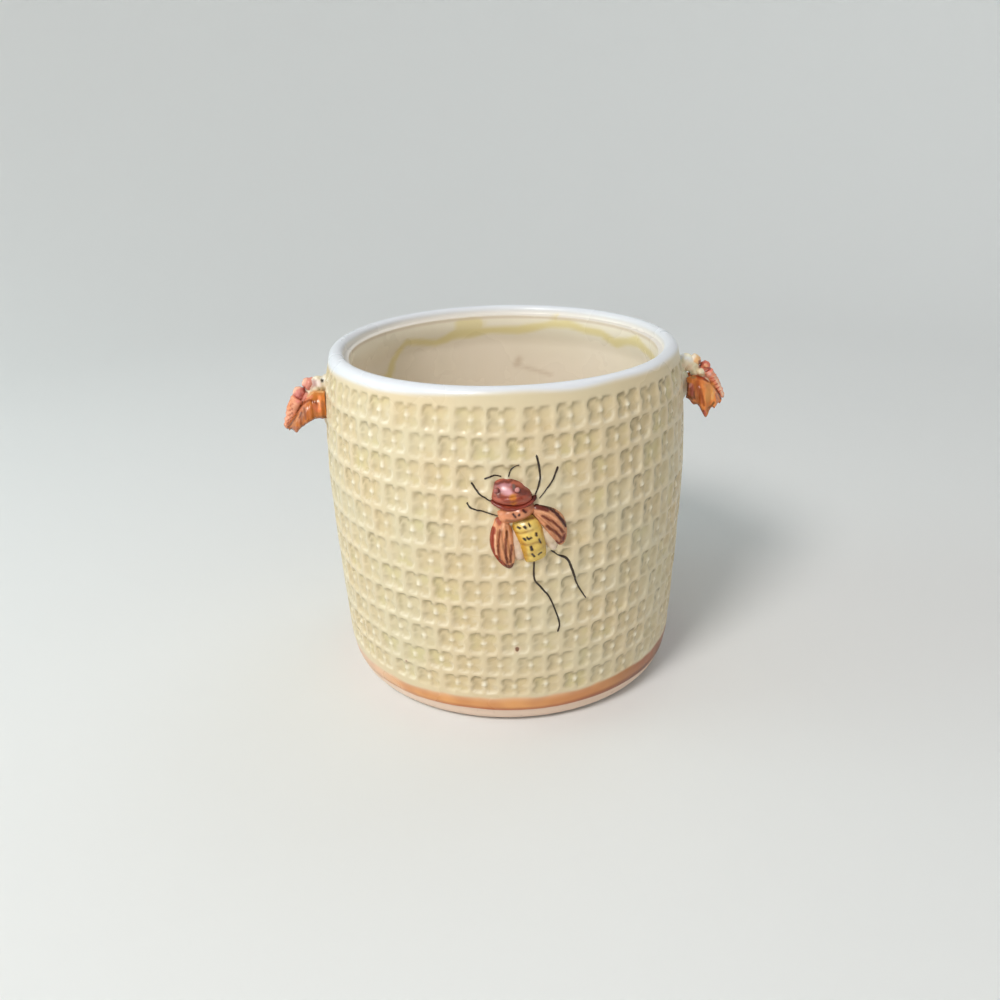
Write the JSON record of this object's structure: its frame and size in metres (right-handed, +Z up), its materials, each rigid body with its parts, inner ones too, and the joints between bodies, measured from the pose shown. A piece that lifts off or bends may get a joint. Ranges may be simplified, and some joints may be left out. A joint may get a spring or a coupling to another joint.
{
  "type": "honey pot",
  "caption": "Round glazed earthenware pot, open at the top, with a rolled lip, a lid seat, two insect-shaped ears and a winged insect in relief on its front.",
  "frame": {"origin": "on the pot's axis in the plane of its flat foot, so the part stands on z = 0", "axes": "+Z up along the pot's axis, X through the two ears with the right-hand ear at +X, the applied insect faces -Y"},
  "size_m": [0.1274, 0.1062, 0.095],
  "materials": {
    "cream_glaze": "glossy cream-yellow glaze",
    "maroon_glaze": "glossy red-brown and rose glaze",
    "orange_glaze": "glossy orange-brown glaze with darker lengthwise stripes",
    "rust_glaze": "glossy rust-orange glaze, darker in the folds",
    "yellow_glaze": "glossy yellow glaze with dark dots",
    "blush_glaze": "pale blush glaze",
    "rose_glaze": "glossy rose and coral glaze",
    "dark_glaze": "near-black painted slip"
  },
  "bodies": {
    "root": {"pot_body": "cream_glaze", "insect_left_eye": "dark_glaze", "insect_right_eye": "dark_glaze", "insect_collar": "maroon_glaze", "insect_head": "maroon_glaze", "insect_thorax": "orange_glaze", "insect_left_wing_case": "orange_glaze", "insect_right_wing_case": "orange_glaze", "insect_abdomen": "yellow_glaze", "insect_left_underwing": "blush_glaze", "insect_right_underwing": "blush_glaze", "insect_left_feeler": "dark_glaze", "insect_right_feeler": "dark_glaze", "insect_front_left_leg": "dark_glaze", "insect_mid_left_leg": "dark_glaze", "insect_front_right_leg": "dark_glaze", "insect_mid_right_leg": "dark_glaze", "insect_hind_left_leg": "dark_glaze", "insect_hind_right_leg": "dark_glaze", "ear_left_head": "rose_glaze", "ear_left_thorax": "rose_glaze", "ear_left_abdomen": "rose_glaze", "ear_left_lug": "cream_glaze", "ear_left_root_pad": "cream_glaze", "ear_left_near_wing": "rust_glaze", "ear_left_far_wing": "rust_glaze", "ear_right_head": "rose_glaze", "ear_right_thorax": "rose_glaze", "ear_right_abdomen": "rose_glaze", "ear_right_lug": "cream_glaze", "ear_right_root_pad": "cream_glaze", "ear_right_near_wing": "rust_glaze", "ear_right_far_wing": "rust_glaze"}
  },
  "joints": []
}
